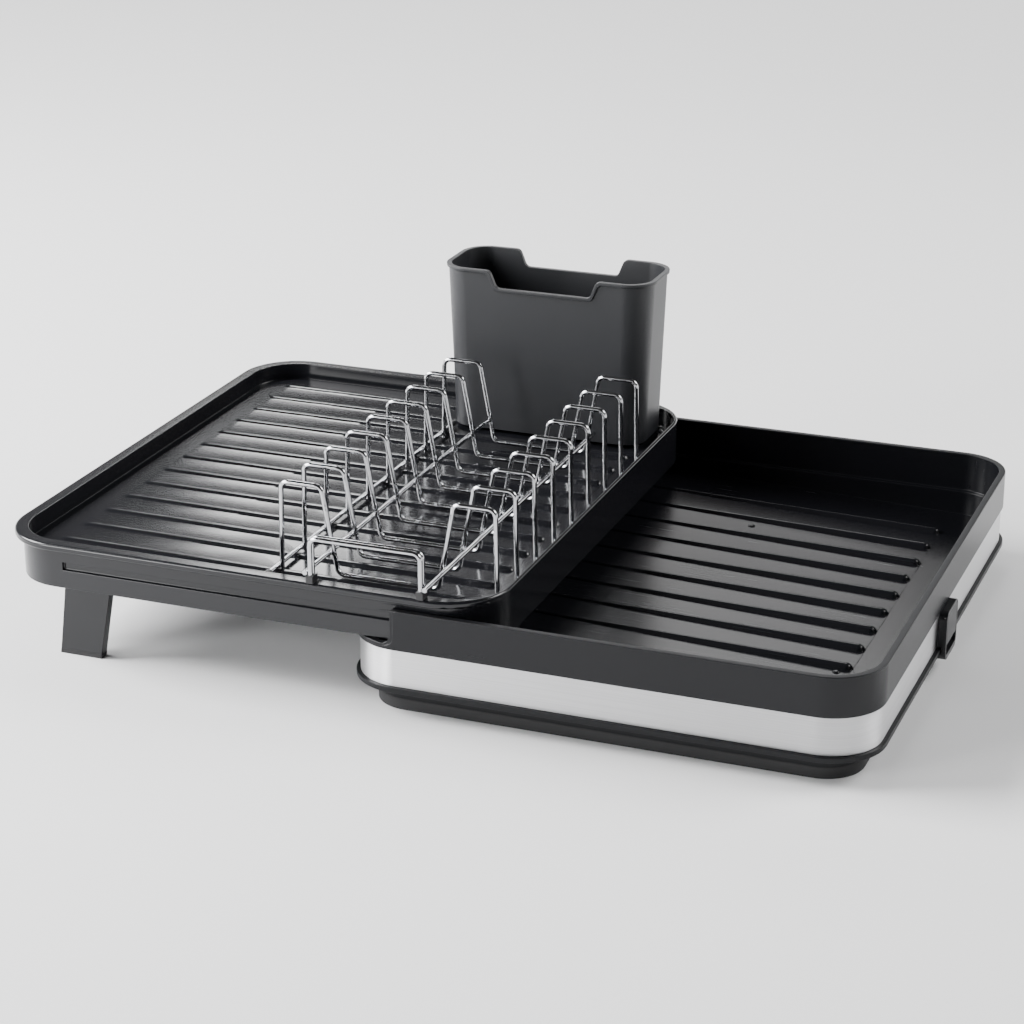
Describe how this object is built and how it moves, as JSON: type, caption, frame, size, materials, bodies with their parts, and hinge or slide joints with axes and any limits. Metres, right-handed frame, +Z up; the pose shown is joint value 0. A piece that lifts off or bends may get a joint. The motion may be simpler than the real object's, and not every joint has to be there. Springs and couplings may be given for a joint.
{
  "type": "expandable dish rack",
  "caption": "Expandable dish rack: steel-banded drip base, ribbed tray that slides out onto folding legs, lift-off wire plate rack and cutlery holder.",
  "frame": {"origin": "on the table, below the middle of the rack as it stands pulled out", "axes": "+X from the sliding tray towards the drain, +Y to the back, +Z up"},
  "size_m": [0.598, 0.4174, 0.1955],
  "materials": {
    "black_plastic": "satin",
    "holder_plastic": "matte",
    "cap_plastic": "gloss",
    "brushed_steel": "brushed",
    "chrome_wire": "polished",
    "screw_steel": "plain",
    "grip_rubber": "matte"
  },
  "bodies": {
    "base": {"base_tray": "black_plastic", "steel_band": "brushed_steel", "bottom_cover": "black_plastic", "foot_ring": "grip_rubber", "base_screws": "screw_steel", "drain_housing": "black_plastic", "drain_seal": "grip_rubber", "flap_pin": "screw_steel", "guide_tab_front": "black_plastic", "guide_tab_back": "black_plastic"},
    "drain_flap": {"drain_flap": "black_plastic"},
    "extension": {"extension_tray": "black_plastic", "leg_bracket_front": "black_plastic", "leg_bracket_back": "black_plastic", "leg_pin_front": "screw_steel", "leg_pin_back": "screw_steel"},
    "front_leg": {"leg_front": "black_plastic", "leg_pad_front": "grip_rubber"},
    "back_leg": {"leg_back": "black_plastic", "leg_pad_back": "grip_rubber"},
    "plate_rack": {"plate_wire_1": "chrome_wire", "plate_wire_2": "chrome_wire", "plate_wire_3": "chrome_wire", "plate_wire_4": "chrome_wire", "plate_wire_5": "chrome_wire", "plate_wire_6": "chrome_wire", "plate_wire_7": "chrome_wire", "plate_wire_8": "chrome_wire", "plate_wire_9": "chrome_wire", "guard_wire_outer": "chrome_wire", "guard_wire_inner": "chrome_wire", "upper_rail_left": "chrome_wire", "upper_rail_right": "chrome_wire", "left_foot_rail": "chrome_wire", "right_foot_rail": "chrome_wire", "rail_caps": "cap_plastic"},
    "cutlery_holder": {"cutlery_holder": "holder_plastic"}
  },
  "joints": [
    {"name": "tray_slide", "type": "slide", "parent": "base", "child": "extension", "axis": [1, 0, 0], "range_m": [0, 0.184]},
    {"name": "front_leg_fold", "type": "hinge", "parent": "extension", "child": "front_leg", "pos_m": [-0.235, -0.191, 0.0575], "axis": [1, 0, 0], "range_deg": [0, 95]},
    {"name": "back_leg_fold", "type": "hinge", "parent": "extension", "child": "back_leg", "pos_m": [-0.235, 0.191, 0.0575], "axis": [-1, 0, 0], "range_deg": [0, 95]},
    {"name": "rack_lift", "type": "slide", "parent": "extension", "child": "plate_rack", "axis": [0, 0, 1], "range_m": [0, 0.07]},
    {"name": "holder_lift", "type": "slide", "parent": "extension", "child": "cutlery_holder", "axis": [0, 0, 1], "range_m": [0, 0.15]},
    {"name": "drain_flap_swing", "type": "hinge", "parent": "base", "child": "drain_flap", "pos_m": [0.2973, -0.0095, 0.041], "axis": [0, -1, 0], "range_deg": [0, 75]}
  ],
  "couplings": [
    {"joint": "front_leg_fold", "follows": "tray_slide", "rad_per_m": 9},
    {"joint": "back_leg_fold", "follows": "tray_slide", "rad_per_m": 9}
  ]
}
